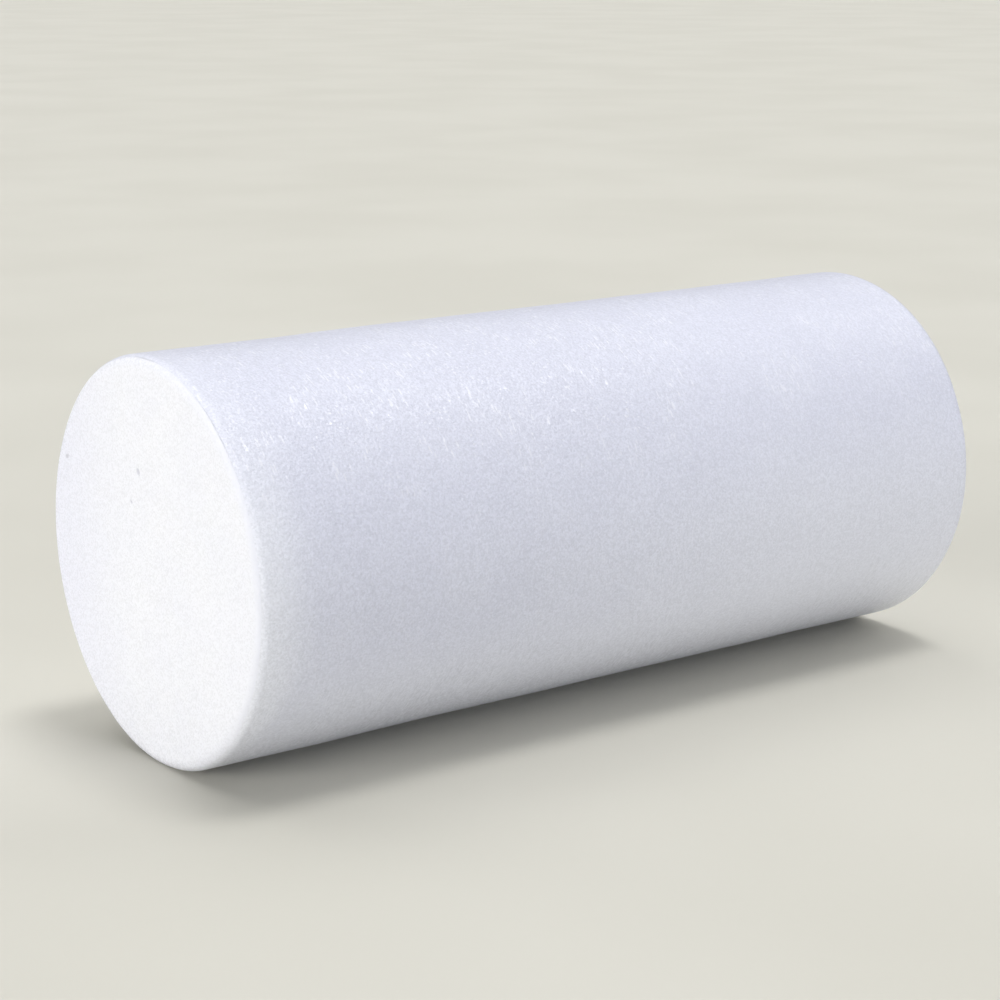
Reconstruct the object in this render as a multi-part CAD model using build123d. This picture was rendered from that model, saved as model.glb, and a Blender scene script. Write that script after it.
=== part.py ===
from build123d import *
import os

# Round exercise foam roller, lying on its side. Millimetres, +Z up.
# Its axis runs along X. The origin is on the floor, under the middle of the log.

# Driving dimensions
DIAMETER = 152.4  # nominal 6 inch round log
LENGTH = 350.0  # end face to end face
SKIN_THICKNESS = 1.0  # dense closed skin that the extrusion die leaves on the log
RIM_RADIUS = 4.0  # soft edge all round each cut end
CUT_OVERRUN = 2.0  # how far a cutting cylinder runs past each end

RADIUS = DIAMETER / 2
CORE_RADIUS = RADIUS - SKIN_THICKNESS


def lying_cylinder(radius, length):
    """A solid cylinder on the log's own axis."""
    return Pos(0, 0, RADIUS) * Rot(0, 90, 0) * Cylinder(radius, length)


def whole_log():
    """The outside of the roller: a square-cut cylinder with softened rims."""
    log = lying_cylinder(RADIUS, LENGTH)
    rims = log.edges().filter_by(GeomType.CIRCLE)
    return fillet(rims, RIM_RADIUS)


def inside_the_skin():
    """The space that the skin wraps, open past both ends."""
    return lying_cylinder(CORE_RADIUS, LENGTH + 2 * CUT_OVERRUN)


def foam_core():
    """The low-density cellular core. Its two cut ends are the roller's end faces."""
    return whole_log() & inside_the_skin()


def outer_skin():
    """The thin denser layer round the barrel. It stops in the rounded rims."""
    return whole_log() - inside_the_skin()


def write_node(name, shape):
    """One STEP file, named after its node."""
    shape.label = name
    export_step(shape, f"parts/{name}.step")


os.makedirs("parts", exist_ok=True)
write_node("foam_core", foam_core())
write_node("outer_skin", outer_skin())
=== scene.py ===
import math

import bpy
import numpy as np
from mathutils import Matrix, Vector, noise


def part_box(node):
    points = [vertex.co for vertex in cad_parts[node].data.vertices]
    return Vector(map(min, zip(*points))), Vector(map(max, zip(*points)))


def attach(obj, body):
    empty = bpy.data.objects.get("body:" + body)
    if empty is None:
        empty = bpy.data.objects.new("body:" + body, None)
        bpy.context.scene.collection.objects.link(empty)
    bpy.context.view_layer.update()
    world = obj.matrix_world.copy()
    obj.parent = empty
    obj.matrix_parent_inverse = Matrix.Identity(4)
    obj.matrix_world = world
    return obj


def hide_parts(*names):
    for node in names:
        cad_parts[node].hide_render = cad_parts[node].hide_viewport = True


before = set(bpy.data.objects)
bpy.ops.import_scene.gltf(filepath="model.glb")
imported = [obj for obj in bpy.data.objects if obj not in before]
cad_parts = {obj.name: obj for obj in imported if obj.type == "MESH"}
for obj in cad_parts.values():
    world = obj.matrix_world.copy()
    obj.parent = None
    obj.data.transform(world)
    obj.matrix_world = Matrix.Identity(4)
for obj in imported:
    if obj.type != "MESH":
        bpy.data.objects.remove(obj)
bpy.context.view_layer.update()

# ---------------------------------------------------------------- sizes, in metres
MM = 0.001

core_low, core_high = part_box("foam_core")
skin_low, skin_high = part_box("outer_skin")

LENGTH = core_high.x - core_low.x
RADIUS = (skin_high.z - skin_low.z) / 2
SKIN = RADIUS - (core_high.z - core_low.z) / 2
AXIS_HEIGHT = (skin_low.z + skin_high.z) / 2
RIM = 4.0 * MM
SETTLE = 0.25 * MM  # how far the log's own weight presses it into the floor
BOND_GAP = 0.12 * MM  # between the two meshes where skin and core are bonded
CREASE = math.radians(50)  # edges that turn more than this are drawn sharp

# Where the skin's cut edge lies on the rounded rim, as an angle from the barrel
SKIN_EDGE_ANGLE = math.acos((RIM - SKIN) / RIM)

NEAR_END = -LENGTH / 2  # the end that faces the camera
FAR_END = LENGTH / 2


# ---------------------------------------------------------------- relief of the foam
def noise_at(points, scale, offset=0.0):
    """Smooth noise from about -1 to 1 at each point, with features about scale metres wide."""
    scaled = np.asarray(points, float) / scale + offset
    return np.array([noise.noise(Vector(p)) for p in scaled.reshape(-1, 3)]).reshape(scaled.shape[:-1])


def smooth_step(low, high, value):
    t = np.clip((value - low) / (high - low), 0, 1)
    return t * t * (3 - 2 * t)


def around(x, angle, radius):
    """Points on the log's skin or core. Angle 0 is +Y and a quarter turn is up."""
    return np.stack([x, radius * np.cos(angle), AXIS_HEIGHT + radius * np.sin(angle)], axis=-1)


def lumps(x, angle):
    """How far the whole log stands off a true cylinder: slow waves, a slight oval and one dent."""
    at = around(x, angle, RADIUS)
    slow = 0.35 * MM * noise_at(at, 75 * MM, 3.1)
    medium = 0.13 * MM * noise_at(at, 24 * MM, 11.7)
    oval_turn = math.radians(70)
    oval = 0.30 * MM * np.cos(2 * (angle - oval_turn))
    return slow + medium + oval - thumb_dent(x, angle)


def thumb_dent(x, angle):
    """A shallow press mark beside the far rim, above the middle of the front."""
    deep, half_long, half_wide = 0.55 * MM, 9 * MM, 11 * MM
    middle_x, middle_angle = FAR_END - half_long, math.radians(156)
    along = (x - middle_x) / half_long
    round_the_log = (angle - middle_angle) * RADIUS / half_wide
    return deep * np.exp(-(along**2) - round_the_log**2)


def skin_relief(x, angle):
    """Fine relief of the skin: soft pebbles, and wrinkles that run round the log, more in places."""
    wrinkle_wide, wrinkle_long = 1.9 * MM, 8.5 * MM
    pebble_height, wrinkle_height = 0.05 * MM, 0.03 * MM
    arc = angle * RADIUS / wrinkle_long
    flat = np.stack([x / wrinkle_wide, arc, 0.4 * arc], axis=-1)
    wrinkles = noise_at(flat, 1.0, 5.3)
    groups = smooth_step(-0.1, 0.5, noise_at(around(x, angle, RADIUS), 28 * MM, 7.9))
    pebbles = noise_at(around(x, angle, RADIUS), 4.5 * MM, 1.3)
    return pebble_height * pebbles + wrinkle_height * wrinkles * (0.35 + groups)


def settled(points):
    """The log let down by SETTLE, with what would pass through the floor pressed flat on it."""
    let_down = points - np.array([0, 0, SETTLE])
    let_down[..., 2] = np.maximum(let_down[..., 2], 0.0)
    return let_down


# ---------------------------------------------------------------- meshes
def mesh_piece(name, vertices, faces, material):
    mesh = bpy.data.meshes.new(name)
    mesh.from_pydata(np.asarray(vertices).tolist(), [], faces)
    mesh.validate()
    mesh.materials.append(material)
    mesh.polygons.foreach_set("use_smooth", [True] * len(mesh.polygons))
    mesh.set_sharp_from_angle(angle=CREASE)
    piece = bpy.data.objects.new(name, mesh)
    bpy.context.scene.collection.objects.link(piece)
    return piece


def rim_arc(start, end, steps):
    """(distance in from the end plane, distance in from the barrel) along the rounded rim."""
    turn = np.linspace(start, end, steps)
    return RIM * (1 - np.sin(turn)), RIM * (1 - np.cos(turn))


def torus_faces(rings, around_count):
    """Quads of a closed grid that wraps both ways, facing away from the tube between the rings."""
    faces = []
    for i in range(rings):
        row, after = i * around_count, ((i + 1) % rings) * around_count
        for j in range(around_count):
            k = (j + 1) % around_count
            faces.append((row + j, row + k, after + k, after + j))
    return faces


def build_skin(material):
    """The outer skin: a closed shell whose outside curls over both rims down to its cut edge."""
    around_count, barrel_rings, rim_rings, inner_rings = 200, 420, 6, 14
    angle = np.linspace(-math.pi / 2, 1.5 * math.pi, around_count, endpoint=False)

    end_in, barrel_in = rim_arc(SKIN_EDGE_ANGLE, 0, rim_rings)
    near_x, far_x = NEAR_END + end_in, FAR_END - end_in
    barrel_x = np.linspace(near_x[-1], far_x[-1], barrel_rings)[1:-1]
    outer_x = np.concatenate([near_x, barrel_x, far_x[::-1]])
    outer_drop = np.concatenate([barrel_in, np.zeros_like(barrel_x), barrel_in[::-1]])

    inner_x = np.linspace(outer_x[-1], outer_x[0], inner_rings + 2)[1:-1]

    x_grid, angle_grid = np.meshgrid(outer_x, angle, indexing="ij")
    off_edge = smooth_step(0, 3 * MM, FAR_END - np.abs(x_grid))
    radius = RADIUS - outer_drop[:, None] + lumps(x_grid, angle_grid)
    radius = radius + skin_relief(x_grid, angle_grid) * (0.3 + 0.7 * off_edge)
    edge_lift = skin_edge_lift(angle)
    radius[0] += edge_lift
    radius[-1] += edge_lift
    outer = around(x_grid, angle_grid, radius)

    x_grid, angle_grid = np.meshgrid(inner_x, angle, indexing="ij")
    inner = around(x_grid, angle_grid, RADIUS - SKIN + lumps(x_grid, angle_grid))

    points = settled(np.concatenate([outer, inner]))
    faces = torus_faces(len(points), around_count)
    return mesh_piece("outer_skin_foam", points.reshape(-1, 3), faces, material)


def skin_edge_lift(angle):
    """How far the skin's cut edge has sprung off the core. It shows as a fine lip in places."""
    ring = around(np.zeros_like(angle), angle, RADIUS)
    loose = smooth_step(-0.3, 0.3, noise_at(ring, 30 * MM, 2.2))
    ragged = noise_at(ring, 2 * MM)
    loosest_angle = math.radians(112)
    high_side = smooth_step(0.84, 0.96, np.cos(angle - loosest_angle))
    return (0.15 * loose + 0.04 * ragged) * high_side * MM


def disc_grid(count):
    """A square grid of count by count quads mapped to the unit disc, and its boundary in turn."""
    side = np.linspace(-1, 1, count + 1)
    a, b = np.meshgrid(side, side, indexing="ij")
    wide = np.abs(a) > np.abs(b)
    reach = np.where(wide, a, b)
    safe = np.where(reach == 0, 1, reach)
    turn = np.where(wide, math.pi / 4 * b / safe, math.pi / 2 - math.pi / 4 * a / safe)
    disc = np.stack([reach * np.cos(turn), reach * np.sin(turn)], axis=-1).reshape(-1, 2)
    index = np.arange((count + 1) ** 2).reshape(count + 1, count + 1)
    quads = np.stack([index[:-1, :-1], index[1:, :-1], index[1:, 1:], index[:-1, 1:]], axis=-1)
    edge = np.concatenate([index[:-1, 0], index[-1, :-1], index[:0:-1, -1], index[0, :0:-1]])
    return disc, quads.reshape(-1, 4), edge


NICK_DEPTH = 0.22 * MM

# Small nicks in the end face that shows: across (+Y), up from the axis, length, turn in degrees
NICKS = [
    (5.8 * MM, 33.3 * MM, 2.6 * MM, 60),
    (61.2 * MM, 29.5 * MM, 2.4 * MM, 155),
    (11.9 * MM, 21.0 * MM, 1.6 * MM, 40),
]


def nick_depth(across, up):
    """Depth of the small nicks at a place on the near end face."""
    depth = np.zeros_like(across)
    for nick_y, nick_z, long, turn in NICKS:
        half_long, half_wide = long * 0.60, long * 0.32
        c, s = math.cos(math.radians(turn)), math.sin(math.radians(turn))
        dy, dz = across - nick_y, up - nick_z
        along = (c * dy + s * dz) / half_long
        over = (-s * dy + c * dz) / half_wide
        depth += NICK_DEPTH * np.exp(-(along**2) - over**2)
    return depth


def cut_relief(points, sign):
    """Relief of a cut end: burst cells, and the faint waves that the blade leaves."""
    blade_pitch, blade_lean = 13 * MM, 0.25
    cells = noise_at(points, 1.7 * MM, 4.4)
    coarse = noise_at(points, 9 * MM, 8.8)
    blade = np.sin(2 * math.pi * (points[..., 2] + blade_lean * points[..., 1]) / blade_pitch)
    relief = 0.06 * MM * cells + 0.07 * MM * coarse + 0.03 * MM * blade
    if sign < 0:
        relief = relief - nick_depth(points[..., 1], points[..., 2] - AXIS_HEIGHT)
    return relief


def build_core(material):
    """The foam core: two cut end faces with the rounded rims, joined by the wall under the skin."""
    count, rim_rings, wall_rings = 180, 6, 16
    disc, quads, edge = disc_grid(count)
    edge_angle = np.arctan2(disc[edge, 1], disc[edge, 0])
    flat_radius = RADIUS - RIM

    end_in, barrel_in = rim_arc(math.pi / 2, SKIN_EDGE_ANGLE, rim_rings)
    vertices, faces = [], []

    def add(points):
        first = sum(len(p) for p in vertices)
        vertices.append(points)
        return first

    def bridge(ring_a, ring_b):
        for j in range(len(edge)):
            k = (j + 1) % len(edge)
            faces.append((ring_a[j], ring_a[k], ring_b[k], ring_b[j]))

    def end_cap(sign):
        """The flat disc and the rim out to the skin's edge, as rings of vertex numbers."""
        y, z = disc[:, 0] * flat_radius, AXIS_HEIGHT + disc[:, 1] * flat_radius
        points = np.stack([np.full_like(y, sign * FAR_END), y, z], axis=-1)
        points[:, 0] += sign * cut_relief(points, sign)
        first = add(points)
        order = quads if sign > 0 else quads[:, ::-1]
        faces.extend((order + first).tolist())
        rings = [first + edge]
        for step in range(1, rim_rings):
            x = np.full_like(edge_angle, sign * (FAR_END - end_in[step]))
            share = 1 - step / (rim_rings - 1)
            radius = RADIUS - barrel_in[step] + (1 - share) * lumps(x, edge_angle)
            ring = around(x, edge_angle, radius)
            ring[:, 0] += sign * share * cut_relief(ring, sign)
            rings.append(add(ring) + np.arange(len(edge)))
        return rings

    near, far = end_cap(-1), end_cap(1)
    wall = []
    step_in = 0.3 * MM  # from the rim's last ring to the wall's first
    reach = FAR_END - end_in[-1] - step_in
    for x_wall in np.linspace(-reach, reach, wall_rings):
        x = np.full_like(edge_angle, x_wall)
        ring = around(x, edge_angle, RADIUS - SKIN - BOND_GAP + lumps(x, edge_angle))
        wall.append(add(ring) + np.arange(len(edge)))
    chain = near + wall + far[::-1]
    for ring_a, ring_b in zip(chain[:-1], chain[1:]):
        bridge(ring_a, ring_b)

    points = settled(np.concatenate(vertices))
    return mesh_piece("foam_core_log", points, [tuple(int(i) for i in f) for f in faces], material)


# ---------------------------------------------------------------- materials
# Base colours, each pair from the darker to the paler patches
SKIN_COLOURS = (0.765, 0.775, 0.88), (0.785, 0.795, 0.895)
# Painted light low down toward the far end: light bounced from the floor and spread through the foam
SKIN_PAINTED_LIGHT_FAR_LOW = (0.865, 0.875, 0.96)  # low down, toward the far end
# Painted light by the near cut and just above the floor: light through the foam and bounced from the
# floor
SKIN_PAINTED_LIGHT_THROUGH = (0.925, 0.935, 1.0)  # by the near cut and just above the floor
# Painted glint on single cells
SKIN_PAINTED_GLINT = (0.95, 0.95, 0.99)
CUT_COLOURS = (0.91, 0.915, 0.99), (0.925, 0.93, 0.995)
# Painted shade toward the back of the end faces
CUT_PAINTED_SHADE_BACK = (0.85, 0.855, 0.96)
# Painted shade where the cut rounds over at the rim
CUT_PAINTED_SHADE_RIM = (0.83, 0.84, 0.92)
# Painted shade in the small nicks
CUT_NICK_PAINTED_SHADE = (0.64, 0.64, 0.72)
FLOOR_COLOURS = (0.585, 0.57, 0.505), (0.61, 0.595, 0.53)

PATCH_SPAN = (0.3, 0.7)  # where slow noise goes from one colour or roughness to the other


class Nodes:
    """A material's node tree, with short calls for the nodes that are used again and again."""

    def __init__(self, name):
        self.material = bpy.data.materials.new(name)
        self.material.use_nodes = True
        self.tree = self.material.node_tree
        self.shader = self.tree.nodes["Principled BSDF"]

    def add(self, kind, inputs=None, **settings):
        made = self.tree.nodes.new(kind)
        for key, value in settings.items():
            setattr(made, key, value)
        for key, value in (inputs or {}).items():
            self.put(made.inputs[key], value)
        return made

    def put(self, socket, value):
        if isinstance(value, bpy.types.NodeSocket):
            self.tree.links.new(value, socket)
        else:
            socket.default_value = value

    def math(self, operation, a, b):
        made = self.add("ShaderNodeMath", operation=operation)
        self.put(made.inputs[0], a)
        self.put(made.inputs[1], b)
        return made.outputs[0]

    def span(self, value, low, high, to_low=0.0, to_high=1.0):
        """A smooth ramp from to_low to to_high as value goes from low to high."""
        inputs = {"Value": value, "From Min": low, "From Max": high, "To Min": to_low, "To Max": to_high}
        made = self.add("ShaderNodeMapRange", inputs, interpolation_type="SMOOTHSTEP")
        return made.outputs["Result"]

    def noise(self, where, feature, detail=2.0):
        """Noise from 0 to 1 with features about that many metres wide."""
        inputs = {"Vector": where, "Scale": 1 / feature, "Detail": detail}
        return self.add("ShaderNodeTexNoise", inputs).outputs["Fac"]

    def cells(self, where, feature):
        """Distance to the nearest cell centre, with cells about that many metres wide."""
        inputs = {"Vector": where, "Scale": 1 / feature}
        made = self.add("ShaderNodeTexVoronoi", inputs, feature="SMOOTH_F1")
        made.inputs["Smoothness"].default_value = 0.4
        return made.outputs["Distance"]

    def axes(self, vector):
        """The X, Y and Z parts of a vector."""
        return self.add("ShaderNodeSeparateXYZ", {"Vector": vector}).outputs

    def colours(self, factor, low, high):
        """A blend from one colour to another."""
        made = self.add("ShaderNodeMix", data_type="RGBA")
        self.put(made.inputs[0], factor)
        for socket, colour in ((made.inputs[6], low), (made.inputs[7], high)):
            self.put(socket, colour if isinstance(colour, bpy.types.NodeSocket) else (*colour, 1.0))
        return made.outputs[2]

    def vector(self, operation, a, b=(0.0, 0.0, 0.0)):
        made = self.add("ShaderNodeVectorMath", operation=operation)
        self.put(made.inputs[0], a)
        self.put(made.inputs[1], b)
        return made.outputs[0]

    def scaled(self, vector, scale):
        made = self.add("ShaderNodeVectorMath", {"Scale": scale}, operation="SCALE")
        self.put(made.inputs[0], vector)
        return made.outputs[0]

    def facets(self, where, feature):
        """A random tilt for each foam cell, as a vector from -0.5 to 0.5 each way."""
        cell = self.add("ShaderNodeTexVoronoi", {"Vector": where, "Scale": 1 / feature})
        return self.vector("SUBTRACT", cell.outputs["Color"], (0.5, 0.5, 0.5))

    def tilted(self, tilt, along, across, share=1.0):
        """The surface's own normal, turned by that much of the tilt along and across the log."""
        own = self.add("ShaderNodeNewGeometry").outputs["Normal"]
        turn = self.scaled(self.vector("MULTIPLY", tilt, (along, across, across)), share)
        return self.vector("NORMALIZE", self.vector("ADD", own, turn))

    def speckled(self, colour, grain, depth):
        """The colour, darkened by up to depth where the grain is low."""
        return self.scaled(colour, self.span(grain, 0.25, 0.75, 1 - depth, 1.0))

    def calmed(self, value, share):
        """The value moved toward 0.5, so that only that share of its swing is left."""
        swing = self.math("MULTIPLY", self.math("SUBTRACT", value, 0.5), share)
        return self.math("ADD", swing, 0.5)

    def bump(self, height, distance, strength, under=None):
        """A normal with that relief on it, on top of the relief under it if there is any."""
        made = self.add("ShaderNodeBump", {"Height": height, "Distance": distance, "Strength": strength})
        if under is not None:
            self.put(made.inputs["Normal"], under)
        return made.outputs["Normal"]


def log_coordinates(nodes):
    """The place on the log, then how far along it, round it and above the floor that is."""
    place = nodes.add("ShaderNodeTexCoord").outputs["Object"]
    parts = nodes.axes(place)
    up = nodes.math("SUBTRACT", parts["Z"], AXIS_HEIGHT)
    turn = nodes.math("ARCTAN2", parts["Y"], up)
    return place, parts["X"], nodes.math("MULTIPLY", turn, RADIUS), parts["Z"]


def skin_cells(nodes, place, along, arc):
    """Random tilts of the flattened surface cells: all of them mixed, then the round ones alone."""
    stretch = 5.0  # how much longer than wide the long cells are, which run round the log
    squeezed = nodes.math("MULTIPLY", arc, 1 / stretch)
    long_cells = nodes.add("ShaderNodeCombineXYZ", {"X": along, "Y": squeezed}).outputs[0]
    groups = nodes.span(nodes.noise(place, 22 * MM), 0.40, 0.56)
    long_tilt = nodes.facets(long_cells, 0.52 * MM)
    round_tilt = nodes.facets(place, 0.75 * MM)
    mixed = nodes.add("ShaderNodeMix", {0: groups}, data_type="VECTOR")
    nodes.put(mixed.inputs[4], round_tilt)
    nodes.put(mixed.inputs[5], long_tilt)
    return mixed.outputs[1], round_tilt


def skin_painted_glow(nodes, colour, along, height):
    """The skin's colour with painted light: paler low down and by the near cut, for light that comes
    through the foam and bounces up from the floor.
    """
    far_half = nodes.span(along, -100 * MM, 110 * MM)
    low_side = nodes.span(height, 65 * MM, 120 * MM, 1.0, 0.0)
    colour = nodes.colours(nodes.math("MULTIPLY", far_half, low_side), colour, SKIN_PAINTED_LIGHT_FAR_LOW)
    near_cut = nodes.span(along, NEAR_END + 2 * MM, NEAR_END + 28 * MM, 1.0, 0.0)
    lit_through = nodes.span(height, 95 * MM, 140 * MM, 1.0, 0.25)
    near_cut = nodes.math("MULTIPLY", near_cut, lit_through)
    near_floor = nodes.span(height, 8 * MM, 60 * MM, 0.8, 0.0)
    return nodes.colours(nodes.math("MAXIMUM", near_cut, near_floor), colour, SKIN_PAINTED_LIGHT_THROUGH)


def skin_colour(nodes, log, tilts, grain, share, far_share):
    """Cool white in faint patches, finely speckled, with painted glints: single paler cells among the
    others, more of them higher up.
    """
    place, along, _, height = log
    tilt, round_tilt = tilts
    mottled = nodes.noise(place, 22 * MM, 3.0)
    colour = nodes.colours(nodes.span(mottled, *PATCH_SPAN), *SKIN_COLOURS)
    # Painted light: paler low down and by the near cut
    colour = skin_painted_glow(nodes, colour, along, height)

    tone = nodes.calmed(nodes.math("ADD", nodes.axes(round_tilt)["Y"], 0.5), share)
    blotches = nodes.calmed(nodes.noise(place, 1.8 * MM), share)
    for speckle, depth in ((grain, 0.09), (tone, 0.08), (blotches, 0.03)):
        colour = nodes.speckled(colour, speckle, depth)

    # Painted glints: single cells made paler, more of them higher up the side
    painted_glint_cells = nodes.span(nodes.axes(tilt)["Z"], 0.40, 0.48)
    painted_glint_cells = nodes.math("MULTIPLY", painted_glint_cells, far_share)
    upper_side = nodes.span(height, 90 * MM, 130 * MM, 0.12, 0.48)
    return nodes.colours(nodes.math("MULTIPLY", painted_glint_cells, upper_side), colour, SKIN_PAINTED_GLINT)


def skin_material():
    """Smooth extruded foam: satin, cool white, with short glints that run round the log, partly mirrored
    by the coat and partly painted into the colour.
    """
    nodes = Nodes("foam_skin")
    log = log_coordinates(nodes)
    place, along, arc, height = log
    tilts = skin_cells(nodes, place, along, arc)

    # How much of its unevenness the skin keeps: it is smoother low down and toward the far end
    far_share = nodes.span(along, 0.0, 90 * MM, 1.0, 0.65)
    low_share = nodes.span(height, 25 * MM, 75 * MM, 0.55, 1.0)
    share = nodes.math("MULTIPLY", far_share, low_share)
    pores = nodes.calmed(nodes.cells(place, 1.2 * MM), share)
    grain = nodes.calmed(nodes.noise(place, 0.7 * MM), share)
    normal = nodes.bump(pores, 0.17 * MM, 0.9)
    normal = nodes.bump(grain, 0.13 * MM, 0.9, normal)

    # The cells mirror the light each its own way, but less so along the top and toward the far end
    least_share = 0.3
    top_share = nodes.span(height, 128 * MM, 150 * MM, 1.0, least_share)
    facet_share = nodes.math("MULTIPLY", top_share, far_share)
    facet_share = nodes.math("MAXIMUM", facet_share, least_share)
    coat_normal = nodes.tilted(tilts[0], 0.8, 0.4, facet_share)

    shader = nodes.shader
    nodes.put(shader.inputs["Base Color"], skin_colour(nodes, log, tilts, grain, share, far_share))
    nodes.put(shader.inputs["Normal"], normal)
    nodes.put(shader.inputs["Roughness"], nodes.span(grain, *PATCH_SPAN, 0.42, 0.56))
    nodes.put(shader.inputs["Coat Normal"], coat_normal)
    shader.inputs["Specular IOR Level"].default_value = 0.35
    shader.inputs["Coat Weight"].default_value = 0.33
    shader.inputs["Coat Roughness"].default_value = 0.16
    return nodes.material


def nick_shade(nodes, place):
    """Where shade is painted into the small nicks of the near end face: 1 on the bare cut foam, falling
    to 0 in the nicks.
    """
    shade = 1.0
    parts = nodes.axes(place)
    near = nodes.math("LESS_THAN", parts["X"], 0.0)
    ragged = nodes.math("MULTIPLY", nodes.noise(place, 1.5 * MM), 0.8)
    for nick_y, nick_z, long, turn in NICKS:
        half_long, half_wide = long * 0.60, long * 0.40
        c, s = math.cos(math.radians(turn)), math.sin(math.radians(turn))
        dy = nodes.math("SUBTRACT", parts["Y"], nick_y)
        dz = nodes.math("SUBTRACT", parts["Z"], AXIS_HEIGHT + nick_z)
        along = nodes.math("ADD", nodes.math("MULTIPLY", dy, c), nodes.math("MULTIPLY", dz, s))
        over = nodes.math("ADD", nodes.math("MULTIPLY", dy, -s), nodes.math("MULTIPLY", dz, c))
        along = nodes.math("POWER", nodes.math("DIVIDE", along, half_long), 2.0)
        over = nodes.math("POWER", nodes.math("DIVIDE", over, half_wide), 2.0)
        reach = nodes.math("ADD", nodes.math("ADD", along, over), ragged)
        shade = nodes.math("MULTIPLY", nodes.span(reach, 0.5, 1.9), shade)
    return nodes.math("MAXIMUM", shade, nodes.math("SUBTRACT", 1.0, near))


def cut_colour(nodes, place, fine):
    """White in faint patches, with painted shade: a little greyer toward the back, at the rim and in the
    nicks.
    """
    patches = nodes.span(nodes.noise(place, 25 * MM, 3.0), *PATCH_SPAN)
    colour = nodes.colours(patches, *CUT_COLOURS)
    # Painted shade: a little greyer toward the back
    painted_shade_toward_back = nodes.span(nodes.axes(place)["Y"], 5 * MM, 76 * MM)
    colour = nodes.colours(painted_shade_toward_back, colour, CUT_PAINTED_SHADE_BACK)

    # Painted shade at the rounded rim
    from_axis = nodes.vector("SUBTRACT", place, (0.0, 0.0, AXIS_HEIGHT))
    from_axis = nodes.vector("MULTIPLY", from_axis, (0.0, 1.0, 1.0))
    radius = nodes.add("ShaderNodeVectorMath", {0: from_axis}, operation="LENGTH").outputs["Value"]
    rim = nodes.span(radius, RADIUS - RIM - 1 * MM, RADIUS - SKIN, 0.0, 0.6)
    colour = nodes.colours(rim, colour, CUT_PAINTED_SHADE_RIM)

    colour = nodes.speckled(colour, fine, 0.012)
    # Painted shade in the nicks
    return nodes.colours(nick_shade(nodes, place), CUT_NICK_PAINTED_SHADE, colour)


def cut_material():
    """Cut foam: matte, whiter than the skin, with fine cells and soft light inside it."""
    nodes = Nodes("foam_cut")
    place = nodes.add("ShaderNodeTexCoord").outputs["Object"]
    fine = nodes.noise(place, 0.5 * MM)
    normal = nodes.bump(nodes.cells(place, 1.0 * MM), 0.09 * MM, 0.8)
    normal = nodes.bump(fine, 0.04 * MM, 0.8, normal)

    shader = nodes.shader
    nodes.put(shader.inputs["Base Color"], cut_colour(nodes, place, fine))
    nodes.put(shader.inputs["Normal"], normal)
    nodes.put(shader.inputs["Roughness"], nodes.span(fine, *PATCH_SPAN, 0.45, 0.65))
    nodes.put(shader.inputs["Coat Normal"], nodes.tilted(nodes.facets(place, 0.6 * MM), 1.1, 1.1))
    shader.inputs["Specular IOR Level"].default_value = 0.4
    shader.inputs["Coat Weight"].default_value = 0.4
    shader.inputs["Coat Roughness"].default_value = 0.18
    shader.inputs["Subsurface Weight"].default_value = 0.3
    shader.inputs["Subsurface Radius"].default_value = (1.0, 1.0, 1.05)
    shader.inputs["Subsurface Scale"].default_value = 2.0 * MM
    return nodes.material


def floor_material():
    """A plain pale floor with a faint weave."""
    nodes = Nodes("pale_floor")
    place = nodes.add("ShaderNodeTexCoord").outputs["Object"]
    weave = nodes.noise(place, 1.2 * MM)
    patches = nodes.span(nodes.noise(place, 250 * MM), *PATCH_SPAN)
    colour = nodes.colours(patches, *FLOOR_COLOURS)
    nodes.put(nodes.shader.inputs["Base Color"], colour)
    nodes.put(nodes.shader.inputs["Normal"], nodes.bump(weave, 0.1 * MM, 0.4))
    nodes.shader.inputs["Roughness"].default_value = 0.9
    nodes.shader.inputs["Specular IOR Level"].default_value = 0.2
    return nodes.material


# ---------------------------------------------------------------- floor, light and camera
WHITE = (1.0, 1.0, 1.0)
COOL = (0.86, 0.90, 1.0)
SKY = (0.90, 0.93, 1.0, 1.0)

CAMERA_AZIMUTH = math.radians(-37.0)
CAMERA_ELEVATION = math.radians(13.4)
CAMERA_DISTANCE = 0.9895
CAMERA_SIDE = -0.0127
CAMERA_RISE = -0.0011
CAMERA_LENS = 88.2
CAMERA_SENSOR = 36

FLOOR_SIZE = 40
FLOOR_GAP = 0.1 * MM  # under the log, so that the two faces don't coincide


def build_floor():
    bpy.ops.mesh.primitive_plane_add(size=FLOOR_SIZE, location=(0, 0, -FLOOR_GAP))
    floor = bpy.context.object
    floor.name = "floor"
    floor.data.materials.append(floor_material())


def add_light(data, place, target):
    light = bpy.data.objects.new(data.name, data)
    light.location = place
    light.rotation_mode = "QUATERNION"
    light.rotation_quaternion = (Vector(target) - Vector(place)).to_track_quat("-Z", "Y")
    bpy.context.scene.collection.objects.link(light)
    return light


def softbox(name, place, size, power):
    """A round soft light that faces the middle of the log."""
    data = bpy.data.lights.new(name, "AREA")
    data.shape = "DISK"
    data.size = size
    data.energy = power
    add_light(data, place, (0, 0, AXIS_HEIGHT))


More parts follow.
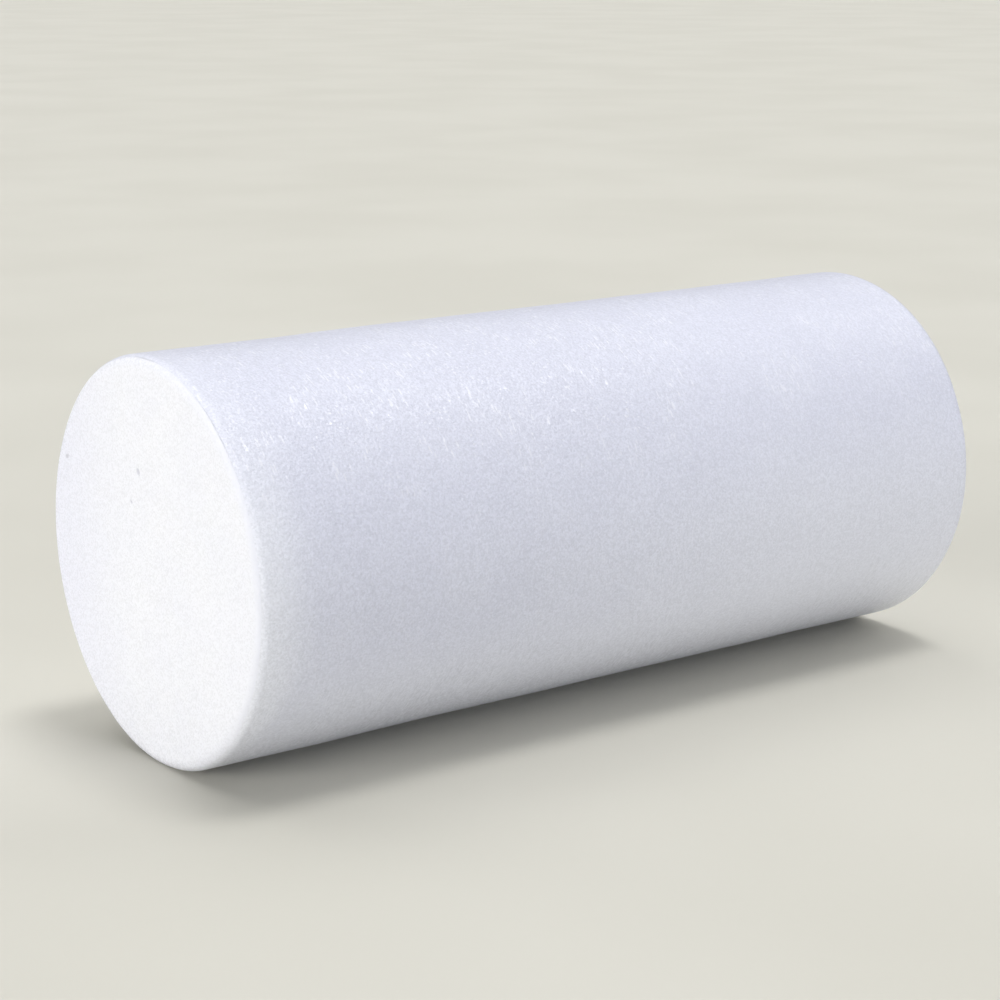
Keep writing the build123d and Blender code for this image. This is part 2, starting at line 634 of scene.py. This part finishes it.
def sky_light(name, place, spread, strength, colour=WHITE, glints=False):
    """Light from one side of the sky, that many degrees wide. Gloss mirrors it only with glints on."""
    data = bpy.data.lights.new(name, "SUN")
    data.angle = math.radians(spread)
    data.energy = strength
    data.color = colour
    add_light(data, place, (0, 0, 0)).visible_glossy = glints


def build_light():
    world = bpy.data.worlds.new("studio")
    world.use_nodes = True
    bpy.context.scene.world = world
    background = world.node_tree.nodes["Background"]
    background.inputs["Color"].default_value = SKY
    background.inputs["Strength"].default_value = 0.23
    sky_light("overhead", (0.0, 0.15, 1.0), 60, 0.72)
    sky_light("key", (0.16, -0.10, 0.98), 16, 0.92, glints=True)
    sky_light("behind", (0.0, 0.7, 0.7), 60, 0.72)
    sky_light("left_window", (-0.95, -0.15, 0.26), 28, 1.74)
    sky_light("right_window", (0.7, 0.1, 0.5), 50, 0.85)
    sky_light("front_fill", (0.25, -1.0, 0.20), 20, 0.80, COOL)
    softbox("cut_glints", (-1.1, 0.35, 0.55), 0.22, 0.5)


def build_camera():
    a, e = CAMERA_AZIMUTH, CAMERA_ELEVATION
    back = Vector((math.sin(a) * math.cos(e), -math.cos(a) * math.cos(e), math.sin(e)))
    right = (-back).cross(Vector((0, 0, 1))).normalized()
    up = right.cross(-back)
    data = bpy.data.cameras.new("camera")
    data.lens = CAMERA_LENS
    data.sensor_width = CAMERA_SENSOR
    camera = bpy.data.objects.new("camera", data)
    camera.rotation_mode = "QUATERNION"
    camera.rotation_quaternion = (-back).to_track_quat("-Z", "Y")
    centre = Vector((0, 0, AXIS_HEIGHT))
    camera.location = centre + back * CAMERA_DISTANCE + right * CAMERA_SIDE + up * CAMERA_RISE
    bpy.context.scene.collection.objects.link(camera)
    bpy.context.scene.camera = camera


# ---------------------------------------------------------------- the roller
def add_piece(piece, node):
    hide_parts(node)
    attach(piece, "root")


build_camera()
add_piece(build_core(cut_material()), "foam_core")
add_piece(build_skin(skin_material()), "outer_skin")
build_floor()
build_light()
bpy.context.scene.view_settings.view_transform = "Standard"
